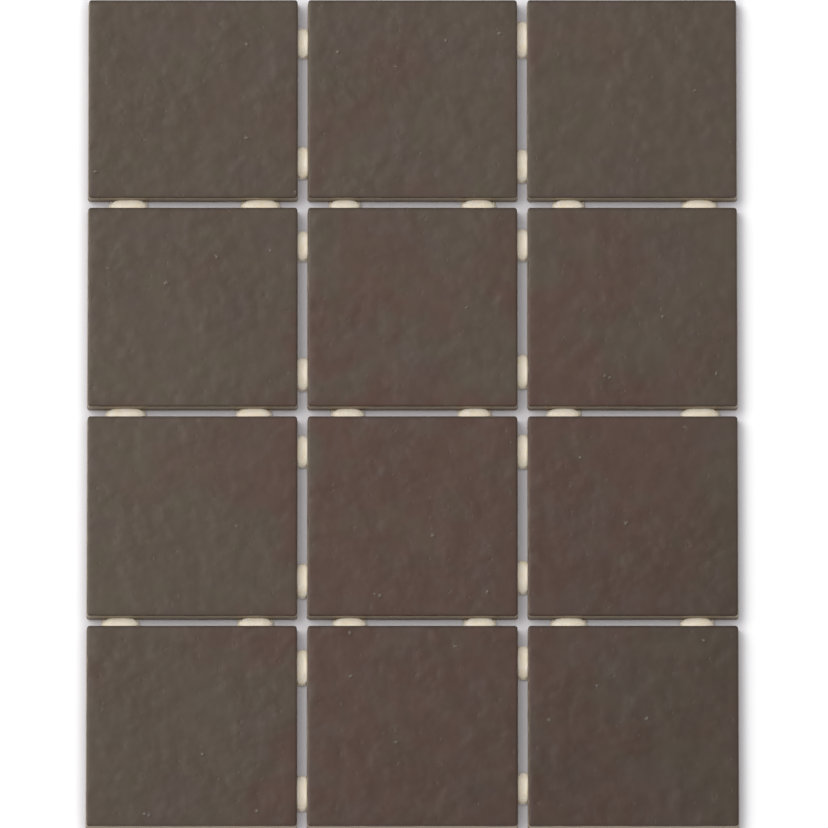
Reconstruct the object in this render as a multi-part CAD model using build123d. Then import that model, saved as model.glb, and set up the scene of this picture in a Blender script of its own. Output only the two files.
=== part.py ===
from build123d import *
from math import cos, hypot, pi, radians, sin, tan
import os

# A sheet of square glazed wall tiles, held a joint apart by dots of glue in the joints.
# Millimetres. The origin is the middle of the sheet, on the level plane that its back rests on.
# X runs along the rows, Y along the columns with row 1 at the far end of +Y, and Z is up.

# The sheet
columns = 3
rows = 4
tile_side = 97.4
joint_width = 4.2

# One tile: a dust-pressed square with rounded corners, a rolled glazed edge and a keyed back
tile_thickness = 7.0
corner_radius = 1.4
edge_roll = 1.2

# The key on the back: parallel bars that stand out of a flat back, for the adhesive to grip
rib_height = 0.8
rib_width = 5.0
rib_groove = 4.5
rib_draft = 0.4

# One glue dot: a plug that rises between two tiles, and the oval pad that it spreads on their backs
dot_rise = 2.7
pad_lip = 0.3
pad_width = 13.0
pad_thickness = 0.6
pad_sides = 16
pad_to_rib_clearance = 1.5

# Each dot's middle, measured from the nearest corner of its tile, in order along the joints
across_insets = [
    18.8, 17.5, 17.3, 18.2, 19.1, 17.6,
    17.9, 20.5, 18.9, 20.1, 16.8, 17.6,
    15.8, 19.5, 19.6, 17.6, 19.1, 19.3,
]
down_insets = [
    19.9, 19.2, 17.4, 17.5, 15.9, 18.8, 19.0, 17.6,
    18.2, 17.5, 16.9, 18.8, 15.9, 20.5, 16.6, 20.1,
]

# Each dot's length along its joint, in the same order
across_lengths = [
    18.0, 18.5, 15.0, 16.0, 15.0, 16.5,
    19.0, 17.0, 15.5, 16.0, 16.0, 18.5,
    17.5, 17.0, 16.0, 15.5, 17.0, 16.0,
]
down_lengths = [
    15.0, 16.0, 15.0, 16.5, 16.0, 17.0, 17.5, 17.5,
    18.5, 16.5, 16.0, 17.0, 17.0, 16.5, 16.5, 15.5,
]

# Each side of a tile that faces another holds two dots, one towards each of its ends
side_ends = (-1, 1)

# What follows from those sizes
pitch = tile_side + joint_width
back_level = rib_height
pad_reach = (pad_width - joint_width) / 2
rib_margin = pad_reach + pad_to_rib_clearance
rib_length = tile_side - 2 * rib_margin
rib_pitch = rib_width + rib_groove
rib_count = int((rib_length + rib_groove) // rib_pitch)


def column_middle(column):
    return (column - (columns - 1) / 2) * pitch


def row_middle(row):
    return ((rows - 1) / 2 - row) * pitch


# The glazed edge rolls over the wall in two bevels that meet halfway round a quarter circle.
def roll_face_edge(tile):
    halfway = radians(45)
    steep_top = edge_roll * tan(halfway / 2)
    mid_drop = edge_roll * (1 - cos(halfway))
    face = tile.faces().sort_by(Axis.Z)[-1]
    tile = chamfer(face.edges(), length=steep_top, length2=edge_roll, reference=face)
    face = tile.faces().sort_by(Axis.Z)[-1]
    along_steep = hypot(steep_top - mid_drop, mid_drop)
    return chamfer(face.edges(), length=edge_roll - steep_top, length2=along_steep, reference=face)


# The bars of the key: a drafted section run along the tile, with both ends drafted alike.
def make_key():
    tip = rib_width / 2 - rib_draft
    foot = rib_width / 2
    key = Part()
    for index in range(rib_count):
        middle = (index - (rib_count - 1) / 2) * rib_pitch
        section = Polygon(
            (middle - foot, back_level), (middle + foot, back_level),
            (middle + tip, 0), (middle - tip, 0), align=None,
        )
        key += extrude(Plane.XZ * section, amount=rib_length / 2, both=True)
    end = rib_length / 2
    ends = Polygon(
        (-end, back_level), (end, back_level), (end - rib_draft, 0), (rib_draft - end, 0), align=None,
    )
    return key & extrude(Plane.YZ * ends, amount=tile_side / 2, both=True)


def make_tile():
    outline = RectangleRounded(tile_side, tile_side, corner_radius)
    slab = Pos(0, 0, back_level) * extrude(outline, amount=tile_thickness - back_level)
    return roll_face_edge(slab) + make_key()


# The side view of a dot's plug: flat along the tiles' backs, with an arched top.
def arch_section(length):
    half = length / 2
    base = Line((-half, 0), (half, 0))
    arch = ThreePointArc((half, 0), (0, dot_rise), (-half, 0))
    return make_face(base + arch)


# The outline of a dot's pad: an oval in straight sides, whose flats touch the full length.
def pad_outline(length):
    turn = pi / pad_sides
    along = (length / 2 + pad_lip) / cos(turn)
    across = pad_width / 2 / cos(turn)
    corners = []
    for index in range(pad_sides):
        angle = (2 * index + 1) * turn
        corners.append((along * cos(angle), across * sin(angle)))
    return Polygon(*corners, align=None)


# A dot that lies along X, with the tiles' flat backs at Z = 0.
def make_dot(length):
    plug = extrude(Plane.XZ * arch_section(length), amount=joint_width / 2, both=True)
    pad = extrude(pad_outline(length), amount=-pad_thickness)
    return plug + pad


# Where a joint's dots lie along it, tile by tile, each inset from the nearest corner.
def dot_places(middles, insets, first):
    places = []
    for middle in middles:
        for end in side_ends:
            inset = insets[(first + len(places)) % len(insets)]
            places.append(middle + end * (tile_side / 2 - inset))
    return places


def write_piece(shape, name):
    shape.label = name
    export_step(shape, f"parts/{name}.step")


def write_tiles():
    tile = make_tile()
    for row in range(rows):
        for column in range(columns):
            place = Pos(column_middle(column), row_middle(row), 0)
            write_piece(place * tile, f"tile_r{row + 1}_c{column + 1}")


# The joints that run across the sheet, along X, between one row and the next.
def write_dots_across():
    middles = [column_middle(column) for column in range(columns)]
    for joint in range(rows - 1):
        joint_middle = (row_middle(joint) + row_middle(joint + 1)) / 2
        first = joint * len(side_ends) * columns
        for index, place in enumerate(dot_places(middles, across_insets, first)):
            length = across_lengths[(first + index) % len(across_lengths)]
            dot = Pos(place, joint_middle, back_level) * make_dot(length)
            write_piece(dot, f"dot_across_{joint + 1}_{index + 1}")


# The joints that run down the sheet, along Y, between one column and the next.
def write_dots_down():
    middles = [-row_middle(row) for row in range(rows)]
    for joint in range(columns - 1):
        joint_middle = (column_middle(joint) + column_middle(joint + 1)) / 2
        first = joint * len(side_ends) * rows
        for index, place in enumerate(dot_places(middles, down_insets, first)):
            length = down_lengths[(first + index) % len(down_lengths)]
            dot = Pos(joint_middle, -place, back_level) * Rot(0, 0, 90) * make_dot(length)
            write_piece(dot, f"dot_down_{joint + 1}_{index + 1}")


os.makedirs("parts", exist_ok=True)
write_tiles()
write_dots_across()
write_dots_down()
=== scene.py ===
import math

import bmesh
import bpy
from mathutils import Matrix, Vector, noise


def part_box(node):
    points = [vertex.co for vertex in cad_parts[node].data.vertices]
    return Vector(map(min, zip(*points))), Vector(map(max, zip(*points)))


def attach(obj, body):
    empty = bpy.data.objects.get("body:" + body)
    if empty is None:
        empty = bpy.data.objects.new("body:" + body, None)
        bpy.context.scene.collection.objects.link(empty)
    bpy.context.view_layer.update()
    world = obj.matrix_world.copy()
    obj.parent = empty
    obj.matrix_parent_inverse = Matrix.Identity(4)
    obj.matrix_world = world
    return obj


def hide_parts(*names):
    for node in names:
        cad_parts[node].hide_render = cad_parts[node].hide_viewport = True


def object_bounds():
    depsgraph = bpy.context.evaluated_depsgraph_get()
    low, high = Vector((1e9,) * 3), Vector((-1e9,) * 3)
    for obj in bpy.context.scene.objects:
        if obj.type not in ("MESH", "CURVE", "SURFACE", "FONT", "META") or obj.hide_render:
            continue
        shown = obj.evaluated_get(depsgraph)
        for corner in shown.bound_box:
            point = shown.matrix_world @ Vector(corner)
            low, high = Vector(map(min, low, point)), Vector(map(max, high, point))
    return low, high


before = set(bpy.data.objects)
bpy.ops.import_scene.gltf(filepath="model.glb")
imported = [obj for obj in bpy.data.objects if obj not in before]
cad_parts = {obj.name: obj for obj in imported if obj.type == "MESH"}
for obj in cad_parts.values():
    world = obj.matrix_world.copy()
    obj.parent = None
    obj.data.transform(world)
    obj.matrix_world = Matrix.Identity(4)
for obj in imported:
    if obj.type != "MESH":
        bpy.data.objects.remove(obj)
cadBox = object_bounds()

# A dot-mounted sheet of brown glazed wall tiles. Lengths in the settings of the pieces and of their
# materials are millimetres, and mm turns them into the frame's metres. The studio's are metres.
mm = 0.001
tileNodes = sorted(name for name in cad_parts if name.startswith("tile_"))
acrossNodes = sorted(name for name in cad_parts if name.startswith("dot_across_"))
downNodes = sorted(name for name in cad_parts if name.startswith("dot_down_"))
seedSteps = (7.31, -3.17, 1.93)     # how far one step of a seed moves the noise, in swells


def smooth(t):
    t = min(1.0, max(0.0, t))
    return t * t * (3 - 2 * t)


def between(t, span):
    return span[0] + (span[1] - span[0]) * t


def wave(x, y, z, size, seed):
    # soft noise from -1 to 1 whose swells are about as wide as size
    return noise.noise(Vector([v / size + seed * step for v, step in zip((x, y, z), seedSteps)]))


def waveUp(x, y, z, size, seed):
    # the same from 0 to 1
    return 0.5 + 0.5 * wave(x, y, z, size, seed)


def finishPiece(name, vertices, faces, node, materials, faceMaterials=None):
    mesh = bpy.data.meshes.new(name)
    mesh.from_pydata(vertices, [], faces)
    for material in materials:
        mesh.materials.append(material)
    if faceMaterials:
        mesh.polygons.foreach_set("material_index", faceMaterials)
    mesh.polygons.foreach_set("use_smooth", [True] * len(faces))
    mesh.update()
    piece = bpy.data.objects.new(name, mesh)
    bpy.context.scene.collection.objects.link(piece)
    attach(piece, "root")
    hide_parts(node)
    return piece


def mergePoints(piece, distance):
    shape = bmesh.new()
    shape.from_mesh(piece.data)
    bmesh.ops.remove_doubles(shape, verts=shape.verts, dist=distance)
    bmesh.ops.dissolve_degenerate(shape, edges=shape.edges, dist=distance / 2)
    bmesh.ops.recalc_face_normals(shape, faces=shape.faces)
    shape.to_mesh(piece.data)
    shape.free()
    piece.data.update()


def markPiece(piece, **marks):
    # the shaders read these marks: one number for the whole piece, or a list with one for each vertex
    for name, value in marks.items():
        mark = piece.data.attributes.new(name, "FLOAT", "POINT")
        values = value if isinstance(value, list) else [value] * len(piece.data.vertices)
        mark.data.foreach_set("value", values)


# Shader helpers

noiseRoughness = 0.55
speckShake = {"Scale": 1.1, "Detail": 1.0}     # the noise that makes the specks ragged


def setInputs(tree, node, inputs):
    for key, value in inputs.items():
        if isinstance(value, bpy.types.NodeSocket):
            tree.links.new(value, node.inputs[key])
        else:
            node.inputs[key].default_value = value


def addNode(tree, kind, inputs=None, **settings):
    node = tree.nodes.new(kind)
    for key, value in settings.items():
        setattr(node, key, value)
    setInputs(tree, node, inputs or {})
    return node


def mathNode(tree, operation, first, second):
    return addNode(tree, "ShaderNodeMath", {0: first, 1: second}, operation=operation).outputs[0]


def plus(tree, first, second):
    return mathNode(tree, "ADD", first, second)


def times(tree, first, second):
    return mathNode(tree, "MULTIPLY", first, second)


def vectorNode(tree, operation, inputs):
    return addNode(tree, "ShaderNodeVectorMath", inputs, operation=operation).outputs[0]


def rangeNode(tree, value, fromMin, fromMax, toMin=0.0, toMax=1.0):
    node = addNode(
        tree, "ShaderNodeMapRange",
        {"Value": value, "From Min": fromMin, "From Max": fromMax, "To Min": toMin, "To Max": toMax},
        interpolation_type="SMOOTHSTEP",
    )
    return node.outputs["Result"]


def mixColour(tree, mask, first, second):
    # the mix node's colours go in at 6 and 7 and come out at 2
    node = addNode(tree, "ShaderNodeMix", {"Factor": mask, 6: first, 7: second}, data_type="RGBA")
    return node.outputs[2]


def noiseNode(tree, place, size, detail, roughness=noiseRoughness):
    node = addNode(
        tree, "ShaderNodeTexNoise",
        {"Vector": place, "Scale": 1 / size, "Detail": detail, "Roughness": roughness},
    )
    return node.outputs["Fac"]


def bumpNode(tree, height, strength, depth):
    node = addNode(
        tree, "ShaderNodeBump", {"Height": height, "Strength": strength, "Distance": depth * mm},
    )
    return node.outputs["Normal"]


def markValue(tree, name):
    return addNode(tree, "ShaderNodeAttribute", attribute_name=name).outputs["Fac"]


def newGroup(name, inputs, outputs):
    tree = bpy.data.node_groups.new(name, "ShaderNodeTree")
    for label, kind, default in inputs:
        socket = tree.interface.new_socket(name=label, in_out="INPUT", socket_type=kind)
        if default is not None:
            socket.default_value = default
    for label, kind in outputs:
        tree.interface.new_socket(name=label, in_out="OUTPUT", socket_type=kind)
    return tree, tree.nodes.new("NodeGroupInput"), tree.nodes.new("NodeGroupOutput")


def useGroup(tree, group, inputs):
    node = tree.nodes.new("ShaderNodeGroup")
    node.node_tree = group
    setInputs(tree, node, inputs)
    return node


def buildPlaceGroup():
    # the point in millimetres, moved aside for each piece by its own seed, and its height over the floor
    tree, source, result = newGroup(
        "piecePlace",
        [("Seed Spread", "NodeSocketFloat", 50.0)],
        [("Place", "NodeSocketVector"), ("Height", "NodeSocketFloat")],
    )
    where = addNode(tree, "ShaderNodeTexCoord").outputs["Object"]
    inMm = vectorNode(tree, "SCALE", {0: where, "Scale": 1 / mm})
    aside = times(tree, markValue(tree, "pieceSeed"), source.outputs["Seed Spread"])
    apart = addNode(tree, "ShaderNodeCombineXYZ", {"X": aside, "Y": aside, "Z": aside}).outputs[0]
    parts = addNode(tree, "ShaderNodeSeparateXYZ", {0: inMm})
    tree.links.new(vectorNode(tree, "ADD", {0: inMm, 1: apart}), result.inputs["Place"])
    tree.links.new(parts.outputs["Z"], result.inputs["Height"])
    return tree


def buildCloudGroup():
    # soft clouds from 0 to 1, for colour that drifts over a surface
    tree, source, result = newGroup(
        "softClouds",
        [
            ("Place", "NodeSocketVector", None),
            ("Size", "NodeSocketFloat", 20.0),
            ("Detail", "NodeSocketFloat", 3.0),
            ("Low", "NodeSocketFloat", 0.35),
            ("High", "NodeSocketFloat", 0.65),
        ],
        [("Mask", "NodeSocketFloat")],
    )
    given = source.outputs
    cloud = addNode(
        tree, "ShaderNodeTexNoise",
        {
            "Vector": given["Place"],
            "Scale": mathNode(tree, "DIVIDE", 1.0, given["Size"]),
            "Detail": given["Detail"],
            "Roughness": noiseRoughness,
        },
    )
    mask = rangeNode(tree, cloud.outputs["Fac"], given["Low"], given["High"])
    tree.links.new(mask, result.inputs["Mask"])
    return tree


def buildSpeckGroup():
    # sparse ragged specks seen from above: a share of the cells of a coarse net holds one each
    tree, source, result = newGroup(
        "sparseSpecks",
        [
            ("Place", "NodeSocketVector", None),
            ("Cell", "NodeSocketFloat", 12.0),
            ("Radius", "NodeSocketFloat", 0.06),      # as a share of the cell
            ("Share", "NodeSocketFloat", 0.3),
            ("Ragged", "NodeSocketFloat", 1.0),
        ],
        [("Mask", "NodeSocketFloat")],
    )
    given = source.outputs
    shake = addNode(tree, "ShaderNodeTexNoise", {"Vector": given["Place"], **speckShake})
    moved = vectorNode(
        tree, "MULTIPLY_ADD", {0: shake.outputs["Color"], 1: given["Ragged"], 2: given["Place"]},
    )
    cells = addNode(
        tree, "ShaderNodeTexVoronoi",
        {"Vector": moved, "Scale": mathNode(tree, "DIVIDE", 1.0, given["Cell"])},
        voronoi_dimensions="2D",
    )
    near = rangeNode(tree, cells.outputs["Distance"], given["Radius"], 0.0)
    pick = addNode(tree, "ShaderNodeSeparateColor", {"Color": cells.outputs["Color"]})
    chosen = mathNode(tree, "LESS_THAN", pick.outputs["Red"], given["Share"])
    tree.links.new(times(tree, near, chosen), result.inputs["Mask"])
    return tree


placeGroup = buildPlaceGroup()
cloudGroup = buildCloudGroup()
speckGroup = buildSpeckGroup()


def clouds(tree, place, size, detail, low, high):
    given = {"Place": place, "Size": size, "Detail": detail, "Low": low, "High": high}
    return useGroup(tree, cloudGroup, given).outputs["Mask"]


def specks(tree, place, cell, radius, share, ragged):
    given = {"Place": place, "Cell": cell, "Radius": radius / cell, "Share": share, "Ragged": ragged}
    return useGroup(tree, speckGroup, given).outputs["Mask"]


def newMaterial(name):
    material = bpy.data.materials.new(name)
    material.use_nodes = True
    tree = material.node_tree
    tree.nodes.clear()
    output = tree.nodes.new("ShaderNodeOutputMaterial")
    shader = tree.nodes.new("ShaderNodeBsdfPrincipled")
    tree.links.new(shader.outputs["BSDF"], output.inputs["Surface"])
    return material, tree, shader


glazeLook = {
    "olive": (0.094, 0.0685, 0.0475, 1),
    "umber": (0.0995, 0.0525, 0.0375, 1),
    "moss": (0.0925, 0.0720, 0.0455, 1),
    "plum": (0.100, 0.066, 0.057, 1),
    "deepAndShade": (0.038, 0.023, 0.015, 1),     # where it lies thick; it also stands for the painted shade
    "speck": (0.34, 0.31, 0.27, 1),
    # painted shadow beside each pale grain
    "grainShadow": (0.020, 0.015, 0.012, 1),
    "thinGlazeAndLight": (0.330, 0.262, 0.170, 1),     # khaki, where it thins down the wall, and painted light on the shaded walls
    "roughPooled": 0.35,
    "roughRaised": 0.38,
    "specular": 0.4,
    "seedSpread": 53.0,
    "drift": (52.0, 3.5, 0.45),           # size, detail and roughness, as in every noise below
    "driftSpan": (0.53, 0.66),            # the noise turns from olive to umber between these
    "redPush": 0.22,                      # a redder place of the sheet moves it this far to umber
    "redSpan": (0.0, 0.8),                # and between these
    "redShare": (0.35, 1.0),              # it shows this much of the umber
    "patches": (                          # colour, amount, then size, detail and span of the clouds
        ("moss", 0.45, (17.0, 3.0, 0.50, 0.64)),
        ("plum", 0.4, (31.0, 3.0, 0.54, 0.62)),
    ),
    "dents": (7.5, 1.5, 0.4),
    "dentSpan": (0.62, 0.38),             # from a dent's rim to its floor
    "bold": (28.0, 2.0),                  # broad places where the dents are bolder
    "boldSpan": (0.35, 0.65),
    "boldShare": (0.45, 1.0),             # how much of the dents shows, from faint to bold
    "pooledDark": 0.09,                   # shares of the deep colour: in the dents
    "boldDark": 0.13,                     # where they are bold
    "rightEdgePaintedShade": 0.35,                     # painted shade on a tile's right edge
    "farEdgePaintedShade": 0.5,                       # painted shade on its far edge
    "bandNoise": (6.0, 3.0),
    "bandWander": 1.2,                    # how unevenly the khaki band runs
    "litSideBandRaise": 0.55,                    # it starts higher on the left sides by this, as painted light on the walls that face the lamp
    "bandFoot": (1.4, 5.4),               # the heights at which it comes in
    "bandTop": (6.7, 6.1),                # and goes out
    "grains": (24.0, 1.0, 0.17, 2.6),     # net, radius, share of its cells, raggedness
    "grainAmount": 0.45,
    "grainHeight": 0.3,
    "grainShadowOffset": (-0.6, 0.5, 0),          # each grain has a painted shadow on one side, this far aside
    "grainShadowAmount": 0.6,
    "nicks": (9.0, 1.3, 0.35, 3.0),
    "nickHeight": -0.2,
    "peel": (1.6, 1.0),
    "peelHeight": 0.03,
    "reliefStrength": 1.0,
    "reliefDepth": 0.8,
}


def buildGlaze():
    look = glazeLook
    material, tree, shader = newMaterial("brownGlaze")
    spot = useGroup(tree, placeGroup, {"Seed Spread": look["seedSpread"]})
    place, height = spot.outputs["Place"], spot.outputs["Height"]
    # the sheet's shade mark and the two edge marks carry painted shade and painted light
    red, paintedShadeMark = markValue(tree, "glazeRed"), markValue(tree, "glazeDark")
    side, far = markValue(tree, "edgeSide"), markValue(tree, "edgeFar")

    # broad drifts from olive to umber, further towards umber where the sheet is redder
    drift = plus(tree, noiseNode(tree, place, *look["drift"]), times(tree, red, look["redPush"]))
    hue = rangeNode(tree, drift, *look["driftSpan"])
    hue = times(tree, hue, rangeNode(tree, red, *look["redSpan"], *look["redShare"]))
    colour = mixColour(tree, hue, look["olive"], look["umber"])
    for name, amount, shape in look["patches"]:
        patch = times(tree, clouds(tree, place, *shape), amount)
        colour = mixColour(tree, patch, colour, look[name])

    # it pools darker in the dents and is darker in broad random places; painted shade lies over the
    # sheet towards its near right corner and on each tile's right and far edges, and painted light
    # halfway down the sheet's left side
    dents = noiseNode(tree, place, *look["dents"])
    pooled = rangeNode(tree, dents, *look["dentSpan"])
    bold = rangeNode(tree, noiseNode(tree, place, *look["bold"]), *look["boldSpan"], *look["boldShare"])
    shade = plus(tree, paintedShadeMark, times(tree, mathNode(tree, "MAXIMUM", side, 0.0), look["rightEdgePaintedShade"]))
    shade = plus(tree, shade, times(tree, far, look["farEdgePaintedShade"]))
    shade = plus(tree, shade, times(tree, pooled, look["pooledDark"]))
    shade = plus(tree, shade, times(tree, bold, look["boldDark"]))
    colour = mixColour(tree, shade, colour, look["deepAndShade"])

    # it thins to khaki in an uneven band down the wall, which also stands in as painted light on the
    # shaded walls, and which starts higher on the left sides as painted light on the walls that face the
    # lamp
    uneven = times(tree, noiseNode(tree, place, *look["bandNoise"]), look["bandWander"])
    left = times(tree, mathNode(tree, "MINIMUM", side, 0.0), look["litSideBandRaise"])
    level = plus(tree, plus(tree, height, uneven), left)
    foot, top = rangeNode(tree, level, *look["bandFoot"]), rangeNode(tree, level, *look["bandTop"])
    colour = mixColour(tree, times(tree, foot, top), colour, look["thinGlazeAndLight"])

    # a few pale grains under the glaze, each with a painted shadow on one side
    aside = vectorNode(tree, "ADD", {0: place, 1: look["grainShadowOffset"]})
    grainShadow = times(tree, specks(tree, aside, *look["grains"]), look["grainShadowAmount"])
    colour = mixColour(tree, grainShadow, colour, look["grainShadow"])
    grain = specks(tree, place, *look["grains"])
    colour = mixColour(tree, times(tree, grain, look["grainAmount"]), colour, look["speck"])
    tree.links.new(colour, shader.inputs["Base Color"])
    shader.inputs["Specular IOR Level"].default_value = look["specular"]
    rough = rangeNode(tree, pooled, 0, 1, look["roughRaised"], look["roughPooled"])
    tree.links.new(rough, shader.inputs["Roughness"])

    # beaten dents a few millimetres wide, a faint orange peel in them, and a few small nicks
    relief = plus(tree, dents, times(tree, noiseNode(tree, place, *look["peel"]), look["peelHeight"]))
    relief = plus(tree, relief, times(tree, specks(tree, place, *look["nicks"]), look["nickHeight"]))
    relief = plus(tree, relief, times(tree, grain, look["grainHeight"]))
    relief = times(tree, relief, bold)
    normal = bumpNode(tree, relief, look["reliefStrength"], look["reliefDepth"])
    tree.links.new(normal, shader.inputs["Normal"])
    return material


clayLook = {
    "buff": (0.47, 0.35, 0.245, 1),
    "fired": (0.36, 0.25, 0.17, 1),
    "grain": (0.60, 0.50, 0.40, 1),
    "seedSpread": 31.0,
    "firedClouds": (14.0, 5.0, 0.35, 0.7),
    "grains": (1.1, 0.35, 0.4, 0.3),
    "rough": 0.85,
    "pores": (0.45, 6.0, 0.65),
    "poreStrength": 0.5,
    "poreDepth": 0.2,
}


def buildClay():
    look = clayLook
    material, tree, shader = newMaterial("bareClay")
    place = useGroup(tree, placeGroup, {"Seed Spread": look["seedSpread"]}).outputs["Place"]
    fired = clouds(tree, place, *look["firedClouds"])
    colour = mixColour(tree, fired, look["buff"], look["fired"])
    colour = mixColour(tree, specks(tree, place, *look["grains"]), colour, look["grain"])
    tree.links.new(colour, shader.inputs["Base Color"])
    shader.inputs["Roughness"].default_value = look["rough"]
    pores = noiseNode(tree, place, *look["pores"])
    normal = bumpNode(tree, pores, look["poreStrength"], look["poreDepth"])
    tree.links.new(normal, shader.inputs["Normal"])
    return material


glueLook = {
    "cream": (0.99, 0.88, 0.72, 1),
    "amber": (0.96, 0.82, 0.59, 1),
    "streak": (0.99, 0.94, 0.86, 1),
    "amberClouds": (4.0, 2.0, 0.4, 0.8),
    "drawn": (0.11, 1.0, 0.6),            # the streaks are drawn out along the dot
    "streakClouds": (0.55, 2.0, 0.5, 0.7),
    "rough": 0.24,
    "subsurface": 0.12,
    "subsurfaceRadius": (1.0, 0.8, 0.5),
    "subsurfaceDepth": 0.8,
    "ridges": (0.5, 2.0),
    "lumps": (2.5, 2.0),
    "ridgeStrength": 0.7,
    "ridgeDepth": 0.2,
}


def buildGlue():
    look = glueLook
    material, tree, shader = newMaterial("creamGlue")
    # the place along the dot, across it and up, so that the drawn streaks follow each dot
    place = addNode(tree, "ShaderNodeAttribute", attribute_name="gluePlace").outputs["Vector"]
    drawn = vectorNode(tree, "MULTIPLY", {0: place, 1: look["drawn"]})
    colour = mixColour(tree, clouds(tree, place, *look["amberClouds"]), look["cream"], look["amber"])
    colour = mixColour(tree, clouds(tree, drawn, *look["streakClouds"]), colour, look["streak"])
    tree.links.new(colour, shader.inputs["Base Color"])
    shader.inputs["Roughness"].default_value = look["rough"]
    shader.inputs["Subsurface Weight"].default_value = look["subsurface"]
    shader.inputs["Subsurface Radius"].default_value = look["subsurfaceRadius"]
    shader.inputs["Subsurface Scale"].default_value = look["subsurfaceDepth"] * mm
    relief = plus(tree, noiseNode(tree, drawn, *look["ridges"]), noiseNode(tree, place, *look["lumps"]))
    normal = bumpNode(tree, relief, look["ridgeStrength"], look["ridgeDepth"])
    tree.links.new(normal, shader.inputs["Normal"])
    return material


glaze = buildGlaze()
clay = buildClay()
glue = buildGlue()
print("materials: glaze, clay and glue are made")


# The tiles
tileLook = {
    "firstSeed": 1.0,
    "step": 1.2,                     # between the face's mesh lines
    "leastStep": 0.05,
    "edgeRoll": 1.0,
    "rollSteps": 6,
    "rollFeet": (0.5, 1.2),          # two more lines, this far inside the roll
    "cornerRadius": 1.4,
    "wallLean": 0.25,                # the walls lean in this much from foot to face
    "shoulderWidth": 3.6,            # the face dips a little towards its edges
    "shoulderDrop": 0.20,
    "longRipple": (16.0, 0.16),      # width and depth of the face's swells
    "shortRipple": (6.5, 0.08),
    "edgeWander": 0.08,              # the sides lie up to this far inside their true lines
    "wanderSize": 22.0,
    "wanderFade": 12.0,              # and the lines further in follow them less, over this much
    "sideStep": 40.0,                # keeps the four sides' wanders apart
    "wallDent": 0.05,
    "wallDentSize": 7.0,
    "wallDentFlat": 3,               # the walls' dents are this many times as wide as tall
    "wallDentSeed": 5,
    "ribHeight": 0.8,
    "ribWidth": 5.0,
    "ribGroove": 4.5,
    "ribDraft": 0.4,
    "ribEdge": 5.9,                  # from the tile's side to the ends of the ribs
    "wallRings": (5.2, 4.4, 3.5, 2.6, 1.8, 1.3),
    "glazeEnd": 1.3,                 # the glaze stops this far above the floor
    "sideEdge": (1.5, 1.1),          # the painted shade and light of the side edges start this far in, and rise over this
    "farEdge": (2.4, 1.8),           # and the painted shade of the far edge
    "redRise": (-105.0, -20.0),      # along the sheet the glaze turns redder between these places
    "redFall": (80.0, 152.0),        # and less red between these
    "redDown": (110.0, -20.0),       # down the sheet it turns redder between these
    "redAcrossRange": (0.15, 1.0),
    "redDownRange": (0.25, 1.05),
    "cornerPaintedShade": 0.36,              # painted shade, as the light falls off towards the near right corner
    "cornerPower": 3,
    "cornerSpan": 508.0,             # over this much, along and down added up
    "leftPaintedLight": 0.12,               # and painted light halfway down the left side
    "leftSpan": (-60.0, -140.0),
    "leftReach": 150.0,
}


def stepLines(low, high, step):
    count = max(1, round((high - low) / step))
    return [low + (high - low) * i / count for i in range(count + 1)]


def edgeLines(half):
    # mesh lines that crowd together over the rolled edge, counted from the tile's middle
    look = tileLook
    lines = []
    for i in range(look["rollSteps"] + 1):
        turn = math.pi / 2 * i / look["rollSteps"]
        lines.append(half - look["edgeRoll"] * (1 - math.cos(turn)))
    return lines + [half - look["edgeRoll"] - foot for foot in look["rollFeet"]]


def ribPlaces(side):
    # the ribs' middles, and half their length
    look = tileLook
    pitch = look["ribWidth"] + look["ribGroove"]
    length = side - 2 * look["ribEdge"]
    count = int((length + look["ribGroove"]) // pitch)
    return [(i - (count - 1) / 2) * pitch for i in range(count)], length / 2


def allLines(half, fixed):
    # the crowded edge lines, the given fixed lines, and even steps between them
    edges = edgeLines(half)
    marks = sorted(set([round(v, 4) for v in edges + [-e for e in edges] + fixed]))
    lines = [marks[0]]
    for mark in marks[1:]:
        if mark - lines[-1] > tileLook["leastStep"]:
            lines += stepLines(lines[-1], mark, tileLook["step"])[1:]
    return lines


def roundCorner(x, y, half, radius):
    # draws the square's corner in to a round one; returns the point and its distance from the side
    flat = half - radius
    a, b = abs(x) - flat, abs(y) - flat
    if a > 0 and b > 0:
        a, b = a / radius, b / radius
        a, b = a * math.sqrt(1 - b * b / 2), b * math.sqrt(1 - a * a / 2)
        x = math.copysign(flat + a * radius, x)
        y = math.copysign(flat + b * radius, y)
        return x, y, radius * (1 - math.hypot(a, b))
    return x, y, half - max(abs(x), abs(y))


def redAt(x, y):
    # how red the glaze is at a place on the sheet
    look = tileLook
    rise, fall, down = look["redRise"], look["redFall"], look["redDown"]
    across = smooth((x - rise[0]) / (rise[1] - rise[0])) * smooth((fall[1] - x) / (fall[1] - fall[0]))
    further = smooth((y - down[0]) / (down[1] - down[0]))
    return between(across, look["redAcrossRange"]) * between(further, look["redDownRange"])


def paintedShadeAt(x, y):
    # how much painted shade lies at a place on the sheet, below 0 where painted light lies instead
    look = tileLook
    start, end = look["leftSpan"]
    corner = min(1.0, max(0.0, 0.5 + (x - y) / look["cornerSpan"]))
    left = smooth((x - start) / (end - start)) * smooth(1 - abs(y) / look["leftReach"])
    return look["cornerPaintedShade"] * corner ** look["cornerPower"] - look["leftPaintedLight"] * left


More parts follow.
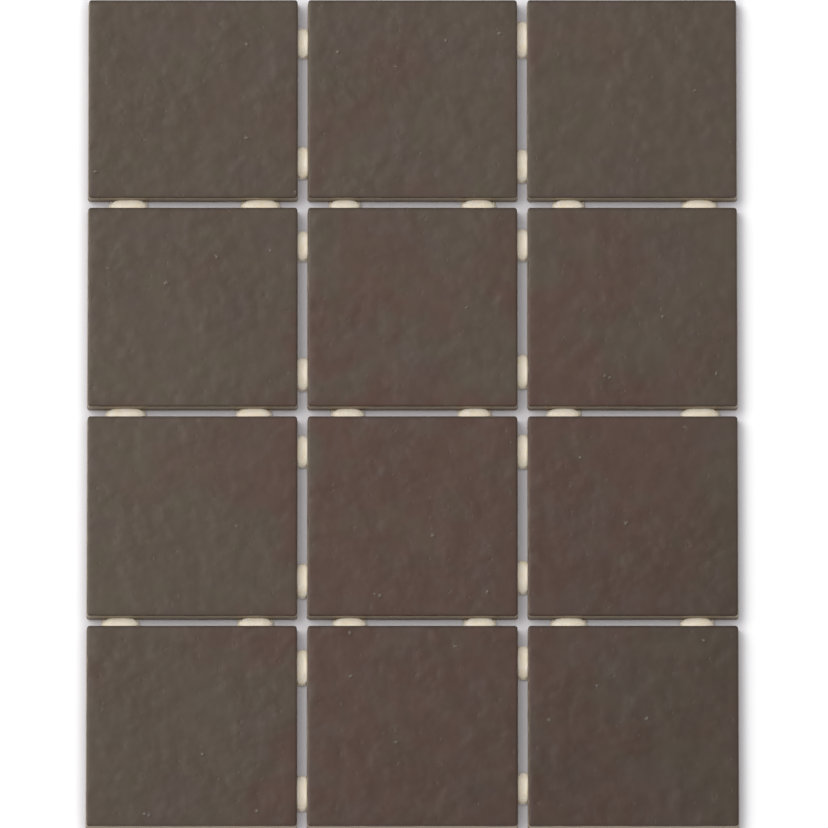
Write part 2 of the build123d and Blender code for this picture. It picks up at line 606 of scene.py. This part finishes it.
def buildTile(node, seed):
    look = tileLook
    low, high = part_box(node)
    middle = (low + high) / 2
    half = (high.x - low.x) / 2 / mm
    top = high.z / mm
    foot = look["ribHeight"]
    roll = look["edgeRoll"]
    ribs, ribEnd = ribPlaces(2 * half)
    ribFoot = look["ribWidth"] / 2
    ribTip = ribFoot - look["ribDraft"]
    fixedX = [rib + edge for rib in ribs for edge in (-ribFoot, -ribTip, ribTip, ribFoot)]
    fixedY = [-ribEnd, look["ribDraft"] - ribEnd, ribEnd - look["ribDraft"], ribEnd]
    linesX, linesY = allLines(half, fixedX), allLines(half, fixedY)
    columns, rows = len(linesX), len(linesY)

    def wander(along, side):
        # how far the tile's side lies inside its true line, never outside it
        return look["edgeWander"] * waveUp(along, side * look["sideStep"], 0, look["wanderSize"], seed)

    def placeOf(x, y):
        px, py, inside = roundCorner(x, y, half, look["cornerRadius"])
        fade = look["wanderFade"]
        shiftX = wander(py, math.copysign(1, px)) * smooth((abs(px) - half + fade) / fade)
        shiftY = wander(px, math.copysign(2, py)) * smooth((abs(py) - half + fade) / fade)
        return px - math.copysign(shiftX, px), py - math.copysign(shiftY, py), inside

    def leanAt(level):
        # the wall's lean at a level, as a share that draws the outline in
        return 1 - look["wallLean"] / half * smooth((level - foot) / (top - roll - foot))

    def faceHeight(px, py, inside):
        drop = 0.0
        if inside < roll:
            drop = roll - math.sqrt(max(0.0, roll * roll - (roll - inside) ** 2))
        shoulder = max(0.0, 1 - inside / look["shoulderWidth"])
        drop += look["shoulderDrop"] * shoulder * shoulder
        swell = 0.0
        for size, depth in (look["longRipple"], look["shortRipple"]):
            swell += depth * waveUp(px, py, size, size, seed + size)
        return top - drop - swell * smooth(inside / roll)

    def backHeight(x, y):
        if abs(y) > ribEnd:
            return foot
        rise = min(1.0, (ribEnd - abs(y)) / look["ribDraft"])
        for rib in ribs:
            off = ribFoot - abs(x - rib)
            if off > 0:
                return foot * (1 - min(rise, off / look["ribDraft"]))
        return foot

    def edgeMark(place, edge):
        return smooth((place - half + edge[0]) / edge[1])

    vertices, faces, paint = [], [], []
    sides, paintedFarShades, reds, paintedShades = [], [], [], []

    def put(px, py, pz):
        vertices.append((middle.x + px * mm, middle.y + py * mm, pz * mm))
        sides.append(math.copysign(edgeMark(abs(px), look["sideEdge"]), px))
        paintedFarShades.append(edgeMark(py, look["farEdge"]))
        x, y = middle.x / mm + px, middle.y / mm + py
        reds.append(redAt(x, y))
        paintedShades.append(paintedShadeAt(x, y))
        return len(vertices) - 1

    # the face and the back share their mesh lines
    upper, lower, places = {}, {}, {}
    faceShare = leanAt(top)
    for i, x in enumerate(linesX):
        for j, y in enumerate(linesY):
            px, py, inside = places[i, j] = placeOf(x, y)
            upper[i, j] = put(px * faceShare, py * faceShare, faceHeight(px, py, inside))
            lower[i, j] = put(px, py, backHeight(x, y))
    for i in range(columns - 1):
        for j in range(rows - 1):
            faces.append((upper[i, j], upper[i + 1, j], upper[i + 1, j + 1], upper[i, j + 1]))
            faces.append((lower[i, j], lower[i, j + 1], lower[i + 1, j + 1], lower[i + 1, j]))
            paint += [0, 1]

    # the walls: rings from the face's outline down to the back's, glazed as far as the glaze's end
    outline = [(i, 0) for i in range(columns - 1)]
    outline += [(columns - 1, j) for j in range(rows - 1)]
    outline += [(i, rows - 1) for i in range(columns - 1, 0, -1)]
    outline += [(0, j) for j in range(rows - 1, 0, -1)]
    rings = [[upper[key] for key in outline]]
    for level in look["wallRings"]:
        ring = []
        for key in outline:
            px, py, inside = places[key]
            dentSeed = seed + look["wallDentSeed"]
            dent = waveUp(px, py, level * look["wallDentFlat"], look["wallDentSize"], dentSeed)
            share = leanAt(level) * (1 - look["wallDent"] * dent / math.hypot(px, py))
            ring.append(put(px * share, py * share, level))
        rings.append(ring)
    rings.append([lower[key] for key in outline])
    ringFeet = list(look["wallRings"]) + [foot]
    for above, below, ringFoot in zip(rings, rings[1:], ringFeet):
        painted = 0 if ringFoot >= look["glazeEnd"] else 1
        for n in range(len(outline)):
            m = (n + 1) % len(outline)
            faces.append((above[n], below[n], below[m], above[m]))
            paint.append(painted)
    name = node.replace("tile_", "glazedTile_")
    piece = finishPiece(name, vertices, faces, node, [glaze, clay], paint)
    # the sheet's shade mark and the two edge marks carry painted shade and painted light
    markPiece(piece, pieceSeed=seed, glazeRed=reds, glazeDark=paintedShades, edgeSide=sides, edgeFar=paintedFarShades)
    return piece


for index, node in enumerate(tileNodes):
    tile = buildTile(node, tileLook["firstSeed"] + index)
print("tiles:", len(tileNodes), "made, each with", len(tile.data.polygons), "faces")


# The glue dots. Along a dot is s, across it is t, and x or y says along which axis it lies.
dotLook = {
    "firstSeed": {"x": 20.0, "y": 60.0},
    "acrossSteps": 8,                # mesh steps over the joint's width
    "alongSteps": 28,
    "padSteps": 5,
    "jointWidth": 4.2,
    "bite": 0.25,                    # how far the plug reaches into the tiles' uneven, leaning walls
    "lip": 0.3,
    "endRound": {"x": 2.2, "y": 0.9},     # the plug is this much shorter at the walls than midway
    "archPower": 2.5,                # the arch is flat on top and steep at its ends
    "skew": 0.12,                    # and leans a little to one end
    "skewSize": 1.7,
    "skewPlace": (3.0, 1.0),
    "sag": 0.35,                     # the plug's top is hollow between the two walls
    "sagGain": 1.5,
    "crestSwell": 0.07,
    "crestSize": 3.5,
    "crestSeed": 11,
    "rimWander": 0.5,                # the pad's outline comes in unevenly by up to this
    "rimSize": 0.8,
    "rimLayer": 2,                   # the layer of the noise that it comes from
    "rimPower": 3,                   # and how much it keeps to the rim
    "padThickness": 0.6,
    "padFlat": 1.25,                 # the pad's underside is a dome that is cut flat
    "padSwell": 0.2,
    "padSize": 5.0,
    "padLayer": 5,
    "backLevel": 0.8,
    "endShares": (0.98, 0.96),       # how near the rim the arch's lines come, at the plug and past it
    "merge": 0.004,
    "streakStep": (23.0, 11.0),      # each dot's streaks are another stretch of the same glue
}


def buildDot(node, along, seed):
    look = dotLook
    low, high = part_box(node)
    middle = (low + high) / 2
    size = (high - low) / mm
    padLength, padWidth = (size.x, size.y) if along == "x" else (size.y, size.x)
    reach, spread = padLength / 2, padWidth / 2
    plug = reach - look["lip"]
    rise = size.z - look["padThickness"]
    wall = look["jointWidth"] / 2 + look["bite"]
    level = look["backLevel"]
    skew = look["skew"] * wave(seed, *look["skewPlace"], look["skewSize"], seed)

    def reachAt(t):
        return reach * math.sqrt(max(0.0, 1 - (t / spread) ** 2))

    def plugEnd(t):
        return plug - look["endRound"][along] * (t / wall) ** 2

    def crest(s, t):
        # the plug's top
        u = s / plugEnd(t)
        if abs(u) >= 1:
            return 0.0
        u = abs(u + skew * (1 - u * u))
        arch = (1 - min(1.0, u) ** look["archPower"]) ** (1 / look["archPower"])
        swell = wave(s, t, 0, look["crestSize"], seed + look["crestSeed"])
        swell = 1 - look["crestSwell"] + look["crestSwell"] * swell
        hollow = look["sag"] * (1 - (t / wall) ** 2) * min(1.0, arch * look["sagGain"])
        return max(0.0, rise * arch * swell - hollow)

    def under(s, t):
        # the pad's underside, below the tiles' backs
        off = math.hypot(s / reach, t / spread)
        dome = math.sqrt(max(0.0, 1 - off * off))
        swell = look["padFlat"] + look["padSwell"] * wave(s, t, look["padLayer"], look["padSize"], seed)
        return look["padThickness"] * min(1.0, dome * swell)

    def rim(s, t):
        # the pad's outline comes in unevenly from the oval
        turn = math.atan2(t / spread, s / reach)
        swell = waveUp(math.cos(turn), math.sin(turn), look["rimLayer"], look["rimSize"], seed)
        off = math.hypot(s / reach, t / spread)
        shrink = 1 - look["rimWander"] * swell * off ** look["rimPower"] / spread
        return s * shrink, t * shrink

    def alongAt(t):
        # one row's places: the arch, with steps that crowd at its steep ends, and the lip past it
        outer = reachAt(t)
        atPlug, pastPlug = look["endShares"]
        inner = min(plugEnd(t), outer * atPlug) if abs(t) <= wall else outer * pastPlug
        count = look["alongSteps"]
        arch = [inner * math.sin(math.pi / 2 * (i / count * 2 - 1)) for i in range(count + 1)]
        halfway = (inner + outer) / 2
        return [-outer, -halfway] + arch + [halfway, outer]

    strip = [wall * (i / look["acrossSteps"] * 2 - 1) for i in range(look["acrossSteps"] + 1)]
    outside = []
    for i in range(1, look["padSteps"] + 1):
        turn = math.pi / 2 * i / look["padSteps"]
        outside.append(wall + (spread - wall) * math.sin(turn))
    # rows from wall to wall stand up as the plug, and the rest lie flat on the tiles' backs
    rowsUp = [(-t, False) for t in reversed(outside)] + [(-wall, False)]
    rowsUp += [(t, True) for t in strip] + [(wall, False)] + [(t, False) for t in outside]
    rowsDown = [(t, False) for t in [-t for t in reversed(outside)] + strip + outside]
    vertices, faces, glueMarks = [], [], []

    def put(s, t, z):
        x, y = (s, t) if along == "x" else (-t, s)
        vertices.append((middle.x + x * mm, middle.y + y * mm, (level + z) * mm))
        return len(vertices) - 1

    def grid(rowList, heightAt, flip):
        rings = []
        for t, raised in rowList:
            ring = []
            for s in alongAt(t):
                px, py = rim(s, t)
                ring.append(put(px, py, heightAt(s, t, raised)))
            rings.append(ring)
        for a, b in zip(rings, rings[1:]):
            for i in range(len(a) - 1):
                quad = (a[i], a[i + 1], b[i + 1], b[i])
                faces.append(tuple(reversed(quad)) if flip else quad)

    grid(rowsUp, lambda s, t, raised: crest(s, t) if raised else 0.0, False)
    grid(rowsDown, lambda s, t, raised: -under(s, t), True)
    name = node.replace("dot_", "glueDot_")
    piece = finishPiece(name, vertices, faces, node, [glue])
    mergePoints(piece, look["merge"] * mm)
    mark = piece.data.attributes.new("gluePlace", "FLOAT_VECTOR", "POINT")
    for vertex in piece.data.vertices:
        x, y, z = (vertex.co - middle) / mm
        s, t = (x, y) if along == "x" else (y, -x)
        glueMarks += [s + seed * look["streakStep"][0], t + seed * look["streakStep"][1], z]
    mark.data.foreach_set("vector", glueMarks)
    return piece


for along, nodes in (("x", acrossNodes), ("y", downNodes)):
    for index, node in enumerate(nodes):
        dot = buildDot(node, along, dotLook["firstSeed"][along] + index)
    faceCount = len(dot.data.polygons)
    print("glue dots along", along, "made:", len(nodes), "with about", faceCount, "faces each")


# The floor, the light and the camera, in metres

def seenRays(tree):
    # 1 for rays that show a surface to the camera, in a gloss or through glass, 0 for those that light
    light = addNode(tree, "ShaderNodeLightPath")
    seen = mathNode(tree, "MAXIMUM", light.outputs["Is Camera Ray"], light.outputs["Is Glossy Ray"])
    return mathNode(tree, "MAXIMUM", seen, light.outputs["Is Transmission Ray"])


floorLook = {
    "size": 60.0,
    "open": (0.97, 0.97, 0.98, 1),
    "under": (0.83, 0.81, 0.84, 1),      # painted shade: a greyer card just under the sheet, that shows in the joints
    "glow": 0.12,                        # lifts the open floor to white
    "edge": (-0.001, 0.006),             # both change over this much at the sheet's sides
    "rough": 0.9,
}


def buildFloor():
    look = floorLook
    half = look["size"] / 2
    corners = [(-half, -half, 0), (half, -half, 0), (half, half, 0), (-half, half, 0)]
    mesh = bpy.data.meshes.new("studioFloor")
    mesh.from_pydata(corners, [], [(0, 1, 2, 3)])
    material, tree, shader = newMaterial("paleFloor")
    shader.inputs["Roughness"].default_value = look["rough"]
    shader.inputs["Specular IOR Level"].default_value = 0.0
    shader.inputs["Emission Color"].default_value = (1, 1, 1, 1)
    where = addNode(tree, "ShaderNodeTexCoord").outputs["Object"]
    away = vectorNode(tree, "ABSOLUTE", {0: where})
    away = vectorNode(tree, "SUBTRACT", {0: away, 1: cadBox[1]})
    parts = addNode(tree, "ShaderNodeSeparateXYZ", {0: away})
    outside = mathNode(tree, "MAXIMUM", parts.outputs["X"], parts.outputs["Y"])
    outside = rangeNode(tree, outside, *look["edge"])
    colour = mixColour(tree, outside, look["under"], look["open"])
    tree.links.new(colour, shader.inputs["Base Color"])
    glow = times(tree, seenRays(tree), times(tree, outside, look["glow"]))
    tree.links.new(glow, shader.inputs["Emission Strength"])
    mesh.materials.append(material)
    floor = bpy.data.objects.new("studioFloor", mesh)
    bpy.context.scene.collection.objects.link(floor)


roomLook = {"colour": (0.97, 0.98, 1.0, 1), "seen": 0.50, "lit": 0.72}


def buildRoom():
    look = roomLook
    world = bpy.data.worlds.new("studioRoom")
    world.use_nodes = True
    tree = world.node_tree
    tree.nodes.clear()
    output = tree.nodes.new("ShaderNodeOutputWorld")
    strength = addNode(
        tree, "ShaderNodeMapRange",
        {"Value": seenRays(tree), "To Min": look["lit"], "To Max": look["seen"]},
    ).outputs["Result"]
    shade = addNode(tree, "ShaderNodeBackground", {"Color": look["colour"], "Strength": strength})
    tree.links.new(shade.outputs[0], output.inputs["Surface"])
    bpy.context.scene.world = world


lampLook = {
    "at": (-2.95, 1.75, 3.93),
    "size": (4.0, 4.0),
    "power": 130.0,
    "colour": (1.0, 0.98, 0.95),
}


def buildLamp():
    look = lampLook
    data = bpy.data.lights.new("key", "AREA")
    data.shape = "RECTANGLE"
    data.size, data.size_y = look["size"]
    data.energy = look["power"]
    data.color = look["colour"]
    lamp = bpy.data.objects.new("key", data)
    lamp.location = look["at"]
    lamp.rotation_euler = (-Vector(look["at"])).to_track_quat("-Z", "Y").to_euler()
    lamp.visible_camera = False
    bpy.context.scene.collection.objects.link(lamp)


cameraLook = {
    "elevation": 71.7,       # the tiles show as much lower than wide as this tilt makes them
    "distance": 14.0,
    "frameWidth": 0.3821,    # what the frame takes in at the sheet
    "sensor": 36.0,
    "aimX": 0.0007,
    "aimY": -0.0016,
    "clip": (1.0, 80.0),
}


def buildCamera():
    look = cameraLook
    data = bpy.data.cameras.new("studioCamera")
    data.sensor_width = look["sensor"]
    data.lens = look["sensor"] * look["distance"] / look["frameWidth"]
    data.clip_start, data.clip_end = look["clip"]
    camera = bpy.data.objects.new("studioCamera", data)
    tilt = math.radians(look["elevation"])
    back = Vector((0, -math.cos(tilt), math.sin(tilt)))
    aim = Vector((look["aimX"], look["aimY"], cadBox[1].z))
    camera.location = aim + back * look["distance"]
    camera.rotation_euler = (-back).to_track_quat("-Z", "Y").to_euler()
    bpy.context.scene.collection.objects.link(camera)
    bpy.context.scene.camera = camera


buildFloor()
buildRoom()
buildLamp()
buildCamera()
bpy.context.scene.view_settings.view_transform = "Standard"
print("studio: floor, room, lamp and camera are set")
